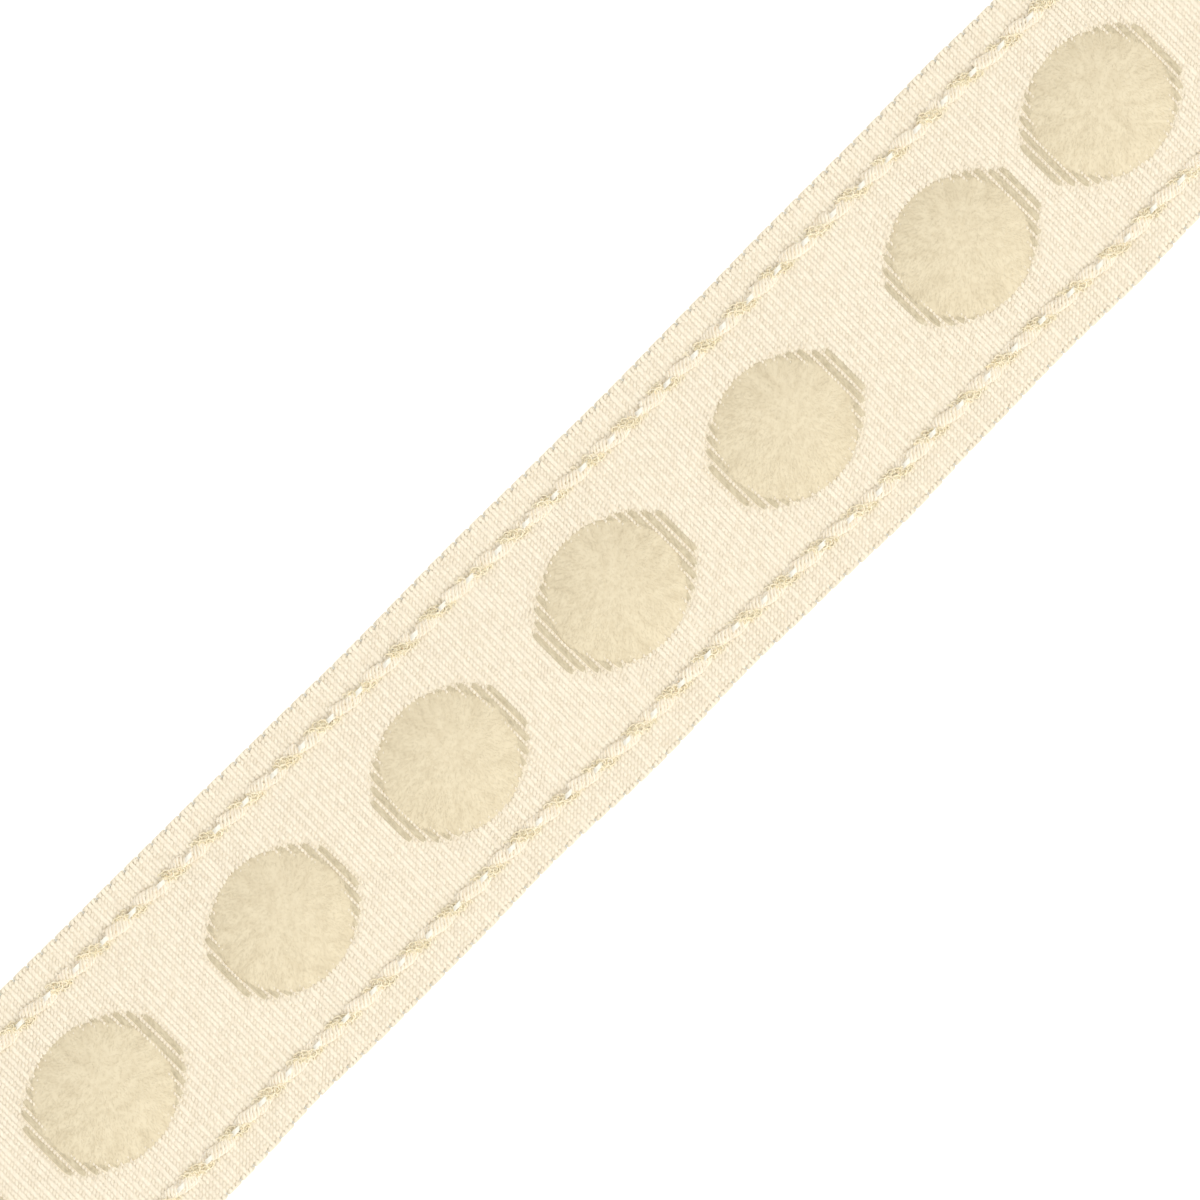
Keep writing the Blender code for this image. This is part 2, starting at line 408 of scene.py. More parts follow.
def yarn_finish(
    name, colour, deep_colour, roughness, sheen, mottle, thread, relief, toned=0.0, scatter=0.0,
    follows="",
):
    """Matt yarn: two tones mixed by slow patches, and by each thread's own tone where it has one.

    The patches lie in the part's own space, or in the attribute that the finish follows.
    """
    material = bpy.data.materials.new(name)
    material.use_nodes = True
    tree = material.node_tree
    shader = tree.nodes["Principled BSDF"]
    if follows:
        place = add_node(tree, "ShaderNodeAttribute", attribute_name=follows).outputs["Vector"]
    else:
        place = add_node(tree, "ShaderNodeTexCoord").outputs["Object"]
    inputs = {"Vector": place, "Scale": 1.0 / mottle, "Detail": PATCH_DETAIL}
    patches = add_node(tree, "ShaderNodeTexNoise", inputs).outputs["Fac"]
    own_tone = add_node(tree, "ShaderNodeAttribute", attribute_name=TONE).outputs["Fac"]
    inputs = {0: toned, 2: patches, 3: own_tone}
    blend = add_node(tree, "ShaderNodeMix", inputs, data_type="FLOAT").outputs[0]
    tones = add_node(tree, "ShaderNodeValToRGB", {"Fac": blend})
    deep, light = tones.color_ramp.elements
    deep.position, deep.color = DEEP_BELOW, (*deep_colour, 1.0)
    light.position, light.color = LIGHT_ABOVE, (*colour, 1.0)
    tree.links.new(tones.outputs["Color"], shader.inputs["Base Color"])
    fine = add_node(tree, "ShaderNodeTexNoise", {"Vector": place, "Scale": 1.0 / thread})
    inputs = {"Height": fine.outputs["Fac"], "Strength": THREAD_BUMP, "Distance": relief}
    bump = add_node(tree, "ShaderNodeBump", inputs)
    tree.links.new(bump.outputs["Normal"], shader.inputs["Normal"])
    shader.inputs["Roughness"].default_value = roughness
    shader.inputs["Specular IOR Level"].default_value = YARN_GLOSS
    shader.inputs["Sheen Weight"].default_value = sheen
    shader.inputs["Sheen Roughness"].default_value = SHEEN_ROUGHNESS
    shader.subsurface_method = "BURLEY"
    shader.inputs["Subsurface Weight"].default_value = scatter
    shader.inputs["Subsurface Radius"].default_value = SCATTER_TINT
    shader.inputs["Subsurface Scale"].default_value = SCATTER_DEPTH
    print("yarn finish:", name)
    return material


# %% The yarns of this tape
CLOTH_SCATTER = 0.08
GIMP_SCATTER = 0.4

ground_finish = yarn_finish(
    "cream_ground", (0.90, 0.81, 0.64), (0.85, 0.76, 0.59), roughness=0.75, sheen=0.15,
    mottle=3.0 * MM, thread=0.12 * MM, relief=0.02 * MM, scatter=CLOTH_SCATTER,
)
float_finish = yarn_finish(
    "cream_warp", (0.905, 0.815, 0.65), (0.855, 0.76, 0.595), roughness=0.7, sheen=0.1,
    mottle=1.2 * MM, thread=0.08 * MM, relief=0.01 * MM, toned=0.6, scatter=CLOTH_SCATTER,
)
core_finish = yarn_finish(
    "crepe_core", (0.78, 0.70, 0.50), (0.71, 0.62, 0.42), roughness=0.8, sheen=0.1,
    mottle=0.7 * MM, thread=0.08 * MM, relief=0.02 * MM, scatter=GIMP_SCATTER,
)
crepe_finish = yarn_finish(
    "cream_crepe_ply", (0.90, 0.82, 0.63), (0.82, 0.735, 0.52), roughness=0.6, sheen=0.1,
    mottle=1.1 * MM, thread=0.08 * MM, relief=0.01 * MM, scatter=GIMP_SCATTER,
)
lustre_finish = yarn_finish(
    "lustrous_ply", (0.90, 0.82, 0.67), (0.84, 0.75, 0.59), roughness=0.5, sheen=0.1,
    mottle=0.9 * MM, thread=0.10 * MM, relief=0.01 * MM, scatter=GIMP_SCATTER,
)
stitch_finish = yarn_finish(
    "white_stitch_silk", (0.97, 0.94, 0.84), (0.94, 0.90, 0.79), roughness=0.45, sheen=0.0,
    mottle=0.5 * MM, thread=0.06 * MM, relief=0.01 * MM,
)
# The pile's colour is partly its own olive tone and partly painted shade: it is deeper than the weave
# because light sinks between the fibres, and its tones follow the combed streaks where the fibres lean
# different ways.
pile_tone_and_shade = yarn_finish(
    "beige_pile", (0.785, 0.685, 0.485), (0.715, 0.615, 0.425), roughness=0.95, sheen=0.25,
    mottle=2.4, thread=0.35, relief=0.035 * MM, follows=COMBED,
)
# Painted shade: the rows at a dot's ends are darker than the dense pile, for the shade where they sink
# between the ribs.
sparse_row_painted_shade = yarn_finish(
    "shaded_pile", (0.725, 0.635, 0.450), (0.650, 0.565, 0.390), roughness=0.95, sheen=0.15,
    mottle=1.0 * MM, thread=0.10 * MM, relief=0.02 * MM,
)
edge_finish = yarn_finish(
    "cream_selvedge", (0.87, 0.79, 0.63), (0.82, 0.74, 0.58), roughness=0.8, sheen=0.1,
    mottle=1.2 * MM, thread=0.10 * MM, relief=0.02 * MM, scatter=CLOTH_SCATTER,
)
# Painted shade: the catch thread's greyish colour stands in for the shade down in each notch between two
# loops.
notch_painted_shade = yarn_finish(
    "catch_thread_painted_shade", (0.74, 0.72, 0.64), (0.67, 0.65, 0.57), roughness=0.9, sheen=0.0,
    mottle=1.0 * MM, thread=0.10 * MM, relief=0.02 * MM,
)

# %% [markdown]
# ## The ground sheet
# Under the ribs lies the body of the cloth: about a millimetre thick, with a soft rounded edge and
# a very shallow lane under each gimp cord. It follows the wandering outline, so it is lofted: one
# closed cross section at each rib, skinned from end to end, is the simplest closed form there is.

# %% Loft the ground sheet
GROUND_TOP = 1.02 * MM
LANE_FLOOR = 1.00 * MM
LANE_HALF_WIDTH = 1.10 * MM
LANE_LIP = 0.10 * MM
# Selvedge section: how far in from the edge, and how high.
EDGE_ROUND = [
    (0.60 * MM, 0.0),
    (0.42 * MM, 0.15 * MM),
    (0.38 * MM, 0.48 * MM),
    (0.46 * MM, 0.80 * MM),
    (0.70 * MM, GROUND_TOP),
]
CREASE_ANGLE = math.radians(40.0)


def half_section(x, side):
    """From the middle of the back round one selvedge and over its lane, towards the middle."""
    edge = edge_at(x, side)
    lane = lane_at(x, side)
    points = [(edge - side * inset, height) for inset, height in EDGE_ROUND]
    points.append((lane + side * (LANE_HALF_WIDTH + LANE_LIP), GROUND_TOP))
    points.append((lane + side * LANE_HALF_WIDTH, LANE_FLOOR))
    points.append((lane - side * LANE_HALF_WIDTH, LANE_FLOOR))
    points.append((lane - side * (LANE_HALF_WIDTH + LANE_LIP), GROUND_TOP))
    return [(x, y, z) for y, z in points]


ground_places = TAPE_START + RIB_PITCH * np.arange(RIB_COUNT + 1)
ground_sections = [half_section(x, FAR) + half_section(x, NEAR)[::-1] for x in ground_places]
ground_points = [point for section in ground_sections for point in section]
ground_mesh = skin("woven_ground", ground_points, len(ground_sections[0]))
ground_mesh.shade_smooth()
ground_mesh.set_sharp_from_angle(angle=CREASE_ANGLE)
ground_mesh.materials.append(ground_finish)
ground = join_meshes("woven_ground", [ground_mesh])
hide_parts("tape")

# %% [markdown]
# ## Where the dots are
# The pile dots interrupt the ribs, so their places come before the ribs do. Each dot has a dense
# round middle. At its two ends the pile only fills the gaps between the ribs, and the ribs cross it
# as bright beaded lines. The frame's own dot gives the middle, the length and the dense width.

# %% Read the dots
dots = []
for dot_name in sorted(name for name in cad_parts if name.startswith("pile_dot")):
    low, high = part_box(dot_name)
    dots.append(
        {
            "node": dot_name,
            "x": (low.x + high.x) / 2.0,
            "y": (low.y + high.y) / 2.0,
            "half_length": (high.x - low.x) / 2.0,
            "radius": (high.y - low.y) / 2.0,
            "top": high.z,
        }
    )
print(f"{len(dots)} dots, about {2 * dots[0]['radius'] / MM:.1f} mm across")

# %% The outline of a dot, and what it cuts from a rib
OUTLINE_SQUARENESS = 2.2
HALF_STUB = 2.3 * MM
SHORTEST_HALF_ROW = 4.1 * MM
SHORTEST_ROW = 0.10 * MM
DENSE_LONGER = 0.15 * MM
PAD_OVERLAP = 0.7 * MM
RIM_UNEVEN = 0.18 * MM
RIM_SEED = 7
rim_chance = np.random.default_rng(RIM_SEED)


def chord(dot, x, half_length, half_width, squareness=2.0):
    """Half the width of an outline round a dot's middle at a place along the tape, or nothing."""
    share = abs(x - dot["x"]) / half_length
    return half_width * (1.0 - share**squareness) ** (1.0 / squareness) if share < 1.0 else 0.0


def outline_at(dot, x):
    """Half the width of the whole dot at a place: never very short, and none where a stub would be."""
    half = chord(dot, x, dot["half_length"], dot["radius"], OUTLINE_SQUARENESS)
    return max(half, SHORTEST_HALF_ROW) if half > HALF_STUB else 0.0


def cut_by_dots(x, low, high):
    """The stretches between two Y values that are left free by the dots, with a ragged rim."""
    for dot in dots:
        half = outline_at(dot, x)
        if half > 0.0:
            below, above = half + rim_chance.uniform(-RIM_UNEVEN, RIM_UNEVEN, 2)
            return [(low, dot["y"] - below), (dot["y"] + above, high)]
    return [(low, high)]


def dense_length(dot):
    """Half the length of a dot's dense middle."""
    return dot["radius"] + DENSE_LONGER


def sparse_stretches(dot, x):
    """The stretches at one place from the dot's outline to a little way under its dense middle."""
    outer = outline_at(dot, x)
    inner = chord(dot, x, dense_length(dot) - PAD_OVERLAP, dot["radius"] - PAD_OVERLAP)
    ends = [(-outer, -inner), (inner, outer)] if inner > 0.0 else [(-outer, outer)]
    return [(start, end) for start, end in ends if end - start > SHORTEST_ROW]


print(f"dense middle of the first dot: {2 * dense_length(dots[0]) / MM:.1f} mm long")

# %% [markdown]
# ## The ribs
# A rib is a bundle of weft that crosses the tape under the warp. Thick and thin ribs take turns, so
# the cloth looks finer than its pitch. Each rib is a straight rail from edge to edge, broken at the
# two lanes and at the dots. Only a thin bridge of each thick rib crosses the ends of a dot.
# Geometry Nodes sweep a round bar along every rail at once, and a little noise keeps them from
# looking machined.

# %% Rails for the ribs
RAIL_EDGE_GAP = 0.30 * MM
NOTCH_EDGE_GAP = 0.80 * MM
RAIL_LANE_GAP = 0.66 * MM
THICK_RIB_HEIGHT = 0.86 * MM
THIN_RIB_HEIGHT = 0.76 * MM
BRIDGE_HEIGHT = 0.98 * MM

thick_places = TAPE_START + RIB_PITCH * (np.arange(RIB_COUNT) + 0.5)
thin_places = TAPE_START + RIB_PITCH * np.arange(1, RIB_COUNT)


def edge_gap_at(x):
    """Ribs stop further in where they meet a notch between two selvedge loops."""
    return NOTCH_EDGE_GAP if np.abs(notch_places - x).min() < SAME_PLACE else RAIL_EDGE_GAP


def rails_at(x, height):
    """Rails of one rib: two selvedge strips and the middle, as start and end points."""
    stretches = []
    for side in (FAR, NEAR):
        outer = edge_at(x, side) - side * edge_gap_at(x)
        inner = lane_at(x, side) + side * RAIL_LANE_GAP
        stretches.append((min(outer, inner), max(outer, inner)))
    stretches += cut_by_dots(x, lane_at(x, NEAR) + RAIL_LANE_GAP, lane_at(x, FAR) - RAIL_LANE_GAP)
    return [[(x, start, height), (x, end, height)] for start, end in stretches]


thick_rails = [rail for x in thick_places for rail in rails_at(x, THICK_RIB_HEIGHT)]
thin_rails = [rail for x in thin_places for rail in rails_at(x, THIN_RIB_HEIGHT)]
bridge_rails = [
    [(x, dot["y"] + start, BRIDGE_HEIGHT), (x, dot["y"] + end, BRIDGE_HEIGHT)]
    for x in thick_places
    for dot in dots
    for start, end in sparse_stretches(dot, x)
]
print(f"{len(thick_rails)} thick, {len(thin_rails)} thin and {len(bridge_rails)} bridging rails")

# %% Sweep the bars
RAIL_STEP = 2.4 * MM
BAR_SIDES = 6
THICK_BAR_RADIUS = 0.22 * MM
THIN_BAR_RADIUS = 0.30 * MM
BRIDGE_BAR_RADIUS = 0.16 * MM
RIB_WOBBLE = 0.05 * MM
WOBBLE_SIZE = 2.5 * MM


def bar_tree():
    """Sweep a round bar along each rail, with a slow wobble."""
    tree, given = start_tree("weft_bars", ["Radius", "Step", "Wobble"])
    steps = steps_along(tree, given["Guide"], given["Step"])
    moved = shifted(tree, steps, drift(tree, given["Wobble"], Scale=1.0 / WOBBLE_SIZE))
    end_tree(tree, swept(tree, moved, BAR_SIDES, given["Radius"]), given["Finish"])
    return tree


weft_bars = bar_tree()
rib_bars = []
for name, rails, radius in (
    ("thick_ribs", thick_rails, THICK_BAR_RADIUS),
    ("thin_ribs", thin_rails, THIN_BAR_RADIUS),
    ("bridges", bridge_rails, BRIDGE_BAR_RADIUS),
):
    sizes = {"Radius": radius, "Step": RAIL_STEP, "Wobble": RIB_WOBBLE, "Finish": ground_finish}
    rib_bars.append(grow(name, line_mesh(name, rails), weft_bars, **sizes))
ribs = join_meshes("weft_ribs", rib_bars)

# %% [markdown]
# ## The warp
# The warp threads run along the tape and pass over each rib in turn. What you see of one is a short
# grain, packed side by side with its neighbours and leaning a little, like the strands of a rope. A
# grain is a closed leaf of a dozen triangles: few enough to repeat twenty thousand times. Geometry
# Nodes set them along every rib, each a little turned and sized, so that small gaps open between
# them here and there.

# %% The warp grains
GRAIN_SHOULDER = 0.15
GRAINS = {
    "thick": {"length": 0.84 * MM, "width": 0.44 * MM, "rise": 0.078 * MM},
    "thin": {"length": 1.02 * MM, "width": 0.52 * MM, "rise": 0.078 * MM},
    "bridge": {"length": 0.58 * MM, "width": 0.32 * MM, "rise": 0.15 * MM},
}


def leaf_grain(name, length, width, rise):
    """A closed leaf along X: a six-cornered outline, a low ridge over it and a flat foot."""
    half, wide, shoulder = length / 2.0, width / 2.0, GRAIN_SHOULDER * length
    outline = [(half, 0.0), (shoulder, wide), (-shoulder, wide)]
    outline += [(-x, -y) for x, y in outline]
    points = [(x, y, 0.0) for x, y in outline]
    points += [(shoulder, 0.0, rise), (-shoulder, 0.0, rise)]
    faces = [(5, 4, 3, 2, 1, 0), (0, 1, 6), (1, 2, 7, 6), (2, 3, 7), (3, 4, 7), (4, 5, 6, 7), (5, 0, 6)]
    grain = new_object(name, new_mesh(name, points, [], faces))
    for edge in grain.data.edges:
        edge.use_edge_sharp = max(edge.vertices) < len(outline)
    return grain


grains = {kind: leaf_grain(f"{kind}_grain", **sizes) for kind, sizes in GRAINS.items()}
print("grains for ribs:", ", ".join(grains))

# %% Lay the grains on the ribs
THICK_GRAIN_HEIGHT = 1.12 * MM
THIN_GRAIN_HEIGHT = 1.08 * MM
BRIDGE_GRAIN_HEIGHT = 1.19 * MM
SMALLEST_GRAIN = (0.85, 0.78, 0.7)
LARGEST_GRAIN = (1.10, 1.12, 1.3)


def grain_tree(grain):
    """Set a grain at even steps along each rail, each a little turned and sized."""
    tree, given = start_tree("warp_grains", ["Pitch", "Lean", "Uneven"], ["Seed"])
    plus, minus = sums(tree, "ADD", "SUBTRACT")
    curve = add_node(tree, "GeometryNodeMeshToCurve", {"Mesh": given["Guide"]})
    inputs = {"Curve": curve.outputs[0], "Length": given["Pitch"]}
    places = add_node(tree, "GeometryNodeCurveToPoints", inputs, mode="LENGTH")
    least, most = minus(given["Lean"], given["Uneven"]), plus(given["Lean"], given["Uneven"])
    inputs = {0: SMALLEST_GRAIN, 1: LARGEST_GRAIN, "Seed": given["Seed"]}
    size = add_node(tree, "FunctionNodeRandomValue", inputs, data_type="FLOAT_VECTOR")
    shape = add_node(tree, "GeometryNodeObjectInfo", {"Object": grain}).outputs["Geometry"]
    turn = xyz(tree, Z=random_number(tree, given["Seed"], least, most))
    laid = copies_at(tree, places.outputs["Points"], shape, Rotation=turn, Scale=size.outputs[0])
    tone = random_number(tree, given["Seed"])
    end_tree(tree, with_value(tree, laid, TONE, tone, "FLOAT", "INSTANCE"), given["Finish"])
    return tree


def lifted(rails, height):
    """The same rails at another height."""
    return [[(x, y, height) for x, y, _ in rail] for rail in rails]


grain_sizes = {
    "Pitch": 0.52 * MM,
    "Lean": math.radians(52.0),
    "Uneven": math.radians(9.0),
    "Seed": 4,
    "Finish": float_finish,
}
rib_kinds = [
    ("thick", thick_rails, THICK_GRAIN_HEIGHT, grain_tree(grains["thick"])),
    ("thin", thin_rails, THIN_GRAIN_HEIGHT, grain_tree(grains["thin"])),
    ("bridge", bridge_rails, BRIDGE_GRAIN_HEIGHT, grain_tree(grains["bridge"])),
]
for half, stays in (("left", lambda x: x < 0.0), ("right", lambda x: x >= 0.0)):
    for kind, rails, height, tree in rib_kinds:
        name = f"warp_on_{kind}_ribs_{half}"
        rails = lifted([rail for rail in rails if stays(rail[0][0])], height)
        join_meshes(name, [grow(name, line_mesh(name, rails), tree, **grain_sizes)])
# The three grains were only patterns to copy.
for grain in grains.values():
    bpy.data.objects.remove(grain, do_unlink=True)

# %% [markdown]
# ## The selvedges
# At each edge the weft turns round the outermost warp and goes back in, two ribs at a time. That
# leaves a row of small flat loops with a narrow notch between them. One loop is a flat ring of
# thread, set at every second rib along each edge, with its inner half under the ribs. A catch
# thread ties two loops together in each notch and shows there as a small dark mark: its greyish
# colour is painted shade for the dark down in the notch.

# %% One tree for the weft turns
LOOP_CORNER_STEPS = 2


def loop_tree():
    """A flat ring of thread with round corners at each point, its outer side just past the edge."""
    sizes = ["Facing", "Thread", "Width", "Depth", "Proud", "Corner", "Tallness"]
    tree, given = start_tree("weft_turns", sizes)
    plus, minus, times = sums(tree, "ADD", "SUBTRACT", "MULTIPLY")
    inputs = {"Width": given["Width"], "Height": given["Depth"]}
    box = add_node(tree, "GeometryNodeCurvePrimitiveQuadrilateral", inputs, mode="RECTANGLE")
    inputs = {"Curve": box.outputs[0], "Count": LOOP_CORNER_STEPS, "Radius": given["Corner"]}
    ring = add_node(tree, "GeometryNodeFilletCurve", inputs, mode="POLY").outputs[0]
    outer_side = plus(times(given["Depth"], 0.5), given["Thread"])
    inputs = {
        "Geometry": swept(tree, ring, BAR_SIDES, given["Thread"]),
        "Translation": xyz(tree, Y=minus(given["Proud"], outer_side)),
        "Scale": xyz(tree, X=1.0, Y=1.0, Z=given["Tallness"]),
    }
    placed = add_node(tree, "GeometryNodeTransform", inputs).outputs[0]
    facing = xyz(tree, Z=given["Facing"])
    end_tree(tree, copies_at(tree, given["Guide"], placed, Rotation=facing), given["Finish"])
    return tree


weft_turns = loop_tree()
print("weft turn tree:", len(weft_turns.nodes), "nodes")

# %% Weft turns and catch threads along both edges
LOOP_HEIGHT = 0.62 * MM
CATCH_INSETS = (0.12 * MM, 0.52 * MM)
CATCH_HEIGHT = 0.88 * MM
CATCH_RADIUS = 0.13 * MM

loop_sizes = {
    "Thread": 0.22 * MM,
    "Width": 1.92 * MM,
    "Depth": 0.38 * MM,
    "Proud": 0.10 * MM,
    "Corner": 0.06 * MM,
    "Tallness": 1.7,
    "Finish": edge_finish,
}
# The catch threads carry the painted notch shade.
catch_sizes = {"Step": RAIL_STEP, "Radius": CATCH_RADIUS, "Wobble": 0.0, "Finish": notch_painted_shade}
loop_places = TAPE_START + SCALLOP_PITCH * (np.arange(SCALLOP_COUNT) + 0.5)
for name, side, facing in (("selvedge_far", FAR, 0.0), ("selvedge_near", NEAR, math.pi)):
    points = [[(x, edge_at(x, side), LOOP_HEIGHT)] for x in loop_places]
    loops = grow(name, line_mesh(name, points), weft_turns, Facing=facing, **loop_sizes)
    ties = [
        [(x, edge_at(x, side) - side * inset, CATCH_HEIGHT) for inset in CATCH_INSETS]
        for x in notch_places[1:-1]
    ]
    catch = grow(name, line_mesh(name, ties), weft_bars, **catch_sizes)
    join_meshes(name, [loops, catch])

# %% [markdown]
# ## The gimp cords
# Each gimp is two unlike plies twisted together: a crepe one full of tiny curls, and a smooth
# lustrous one whose strands cross the lane the other way. Both are helices wound on the lane's
# middle line, and their strands are smaller helices wound on those, so one tree makes them all.
# Where a stitch pulls the cord down, the same tree presses a small pit into it, and it keeps every
# strand above the back of the tape.

# %% One tree for every strand
TWO_PI = 2.0 * math.pi
STRAND_SIDES = 4
RUFFLE_SIZE = 0.55 * MM
RUFFLE_SWELL = 1.6
PIT_HALF_LENGTH = 0.62 * MM
PIT_HALF_WIDTH = 0.34 * MM
PIT_ACROSS = 0.66 * MM
PIT_SQUARENESS = 4.0
DEEPEST_STRAND = 0.70 * MM


def strand_tree():
    """Wind strands about a ply and the ply about its guide, press in the pits, and sweep a thread."""
    sizes = ["Step", "Thread", "PlyAngle", "PlyTurn", "PlyOnTop", "PlyRadius", "PlyFlatness"]
    sizes += ["WindRadius", "WindTurn", "WindFlatness", "LoopRadius", "Ruffle"]
    sizes += ["PitAt", "PitPitch", "PitDepth"]
    tree, given = start_tree("gimp_strands", sizes, ["Strands"])
    plus, minus, times, over = sums(tree, "ADD", "SUBTRACT", "MULTIPLY", "DIVIDE")
    sine, cosine = sums(tree, "SINE", "COSINE")
    inputs = {"Geometry": steps_along(tree, given["Guide"], given["Step"]), "Amount": given["Strands"]}
    copies = add_node(tree, "GeometryNodeDuplicateElements", inputs, domain="SPLINE")
    place = add_node(tree, "GeometryNodeInputPosition").outputs[0]
    along = part_of(tree, place, "X")
    share = over(copies.outputs["Duplicate Index"], given["Strands"])

    inputs = {"Vector": place, "Scale": 1.0 / RUFFLE_SIZE, "W": plus(share, given["WindTurn"])}
    noise = add_node(tree, "ShaderNodeTexNoise", inputs, noise_dimensions="4D")
    unrest = times(minus(noise.outputs["Fac"], MIDDLE), given["Ruffle"])

    from_top = over(minus(along, given["PlyOnTop"]), given["PlyTurn"])
    ply = plus(times(from_top, TWO_PI), given["PlyAngle"])
    turns = plus(over(along, given["WindTurn"]), share)
    wind = times(plus(turns, unrest), TWO_PI)
    wind_radius = times(given["WindRadius"], plus(times(unrest, RUFFLE_SWELL), 1.0))

    across = plus(times(cosine(ply), given["PlyRadius"]), times(cosine(wind), wind_radius))
    ply_up = times(times(sine(ply), given["PlyRadius"]), given["PlyFlatness"])
    wind_up = times(times(sine(wind), wind_radius), given["WindFlatness"])

    half_pitch = times(given["PitPitch"], 0.5)
    to_pit = sum_of(tree, "WRAP", minus(along, given["PitAt"]), half_pitch, times(half_pitch, -1.0))
    long_part = sum_of(tree, "POWER", over(to_pit, PIT_HALF_LENGTH), PIT_SQUARENESS)
    side_part = over(minus(across, PIT_ACROSS), PIT_HALF_WIDTH)
    away = plus(long_part, times(side_part, side_part))
    pressed = sum_of(tree, "EXPONENT", times(away, -1.0))
    sunk = minus(plus(ply_up, wind_up), times(pressed, given["PitDepth"]))
    height = sum_of(tree, "MAXIMUM", sunk, -DEEPEST_STRAND)

    shift = xyz(tree, X=times(sine(wind), given["LoopRadius"]), Y=across, Z=height)
    moved = shifted(tree, copies.outputs["Geometry"], shift)
    end_tree(tree, swept(tree, moved, STRAND_SIDES, given["Thread"]), given["Finish"])
    return tree


gimp_strands = strand_tree()
print("strand tree:", len(gimp_strands.nodes), "nodes")

# %% What each ply is made of
CREPE_ON_TOP = math.pi / 2.0
LUSTRE_ON_TOP = -math.pi / 2.0
CREPE_SPREAD = math.radians(42.0)

# Each row below has these columns; a table row adds the ply's angle and its finish.
STRAND_COLUMNS = [
    "Strands", "Step", "Thread", "WindRadius", "WindTurn", "WindFlatness", "LoopRadius", "Ruffle",
    "PlyRadius",
]
core = (4, 0.50 * MM, 0.22 * MM, 0.46 * MM, 30.0 * MM, 0.2, 0.0, 0.0, 0.20 * MM)
heart = (4, 0.50 * MM, 0.30 * MM, 0.42 * MM, 30.0 * MM, 0.2, 0.0, 0.0, 0.26 * MM)
curl = (1, 0.07 * MM, 0.10 * MM, 0.34 * MM, 0.74 * MM, 0.35, 0.33 * MM, 0.6, 0.76 * MM)
middle_curl = (1, 0.07 * MM, 0.10 * MM, 0.34 * MM, -0.80 * MM, 0.35, 0.33 * MM, 0.6, 0.74 * MM)
strand = (5, 0.16 * MM, 0.25 * MM, 0.68 * MM, -2.54 * MM, 0.30, 0.0, 0.10, 0.30 * MM)
ply_table = [
    (core, CREPE_ON_TOP, core_finish),
    (curl, CREPE_ON_TOP - CREPE_SPREAD, crepe_finish),
    (middle_curl, CREPE_ON_TOP, crepe_finish),
    (curl, CREPE_ON_TOP + CREPE_SPREAD, crepe_finish),
    (heart, LUSTRE_ON_TOP, lustre_finish),
    (strand, LUSTRE_ON_TOP, lustre_finish),
]
print(len(ply_table), "strand recipes")

# %% Twist both cords
GIMP_MIDDLE_HEIGHT = 1.10 * MM
GIMP_SETBACK = 0.4 * MM
PLY_FLATNESS = 0.55
LANES = {
    FAR: {
        "name": "far",
        "PlyTurn": 6.78 * MM,
        "PlyOnTop": 16.2 * MM,
        "PitAt": 11.84 * MM,
        "PitPitch": 5.011 * MM,
        "PitDepth": 0.80 * MM,
    },
    NEAR: {
        "name": "near",
        "PlyTurn": 6.56 * MM,
        "PlyOnTop": 16.5 * MM,
        "PitAt": 16.26 * MM,
        "PitPitch": 4.991 * MM,
        "PitDepth": 0.30 * MM,
    },
}


def lane_guide(side):
    """A line along the middle of one lane, at the height of its cord."""
    places = np.linspace(TAPE_START + GIMP_SETBACK, TAPE_START + TAPE_LENGTH - GIMP_SETBACK, RIB_COUNT)
    return line_mesh("lane", [[(x, lane_at(x, side), GIMP_MIDDLE_HEIGHT) for x in places]])


for side, lane in LANES.items():
    twist = {key: value for key, value in lane.items() if key != "name"}
    meshes = []
    for strands, angle, finish in ply_table:
        values = dict(zip(STRAND_COLUMNS, strands)) | {"PlyFlatness": PLY_FLATNESS}
        values |= {"PlyAngle": angle, "Finish": finish}
        meshes.append(grow("strands", lane_guide(side), gimp_strands, **twist, **values))
    join_meshes(f"gimp_cord_{lane['name']}", meshes)
    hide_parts(f"gimp_{lane['name']}")

# %% [markdown]
# ## The couching stitches
# A white silk thread comes up beside the cord, crosses a short stretch of it lengthwise, and goes
# down again, about every five millimetres. From above it is a short bright dash beside its pit.
# Four thin arcs, side by side and a little staggered, make one stitch.

# %% One tree for the stitches
STITCH_HALF_LENGTH = 0.70 * MM
STITCH_ARC = 0.50 * MM
STITCH_STEPS = 5
STITCH_SIDES = 5


def stitch_tree():
    """A few arcs of thread side by side at each point, each a little further along."""
    tree, given = start_tree("couching", ["Spacing", "Slant", "Thread"], ["Threads"])
    inputs = {
        "Resolution": STITCH_STEPS,
        "Start": (-STITCH_HALF_LENGTH, 0.0, -STITCH_ARC),
        "Middle": (0.0, 0.0, STITCH_ARC),
        "End": (STITCH_HALF_LENGTH, 0.0, -STITCH_ARC),
    }
    arc = add_node(tree, "GeometryNodeCurveQuadraticBezier", inputs)
    inputs = {"Geometry": arc.outputs[0], "Amount": given["Threads"]}
    copies = add_node(tree, "GeometryNodeDuplicateElements", inputs, domain="SPLINE")
    number = copies.outputs["Duplicate Index"]
    onward = sum_of(tree, "MULTIPLY", number, given["Slant"])
    aside = sum_of(tree, "MULTIPLY", number, given["Spacing"])
    moved = shifted(tree, copies.outputs["Geometry"], xyz(tree, X=onward, Y=aside))
    stitch = swept(tree, moved, STITCH_SIDES, given["Thread"])
    end_tree(tree, copies_at(tree, given["Guide"], stitch), given["Finish"])
    return tree


couching = stitch_tree()
print("stitch tree:", len(couching.nodes), "nodes")

# %% Stitch the cords down
STITCH_THREADS = 4
STITCH_SPACING = 0.135 * MM
STITCH_SLANT = 0.09 * MM
STITCH_HEIGHT = 1.80 * MM
STITCH_END_GAP = 1.0 * MM

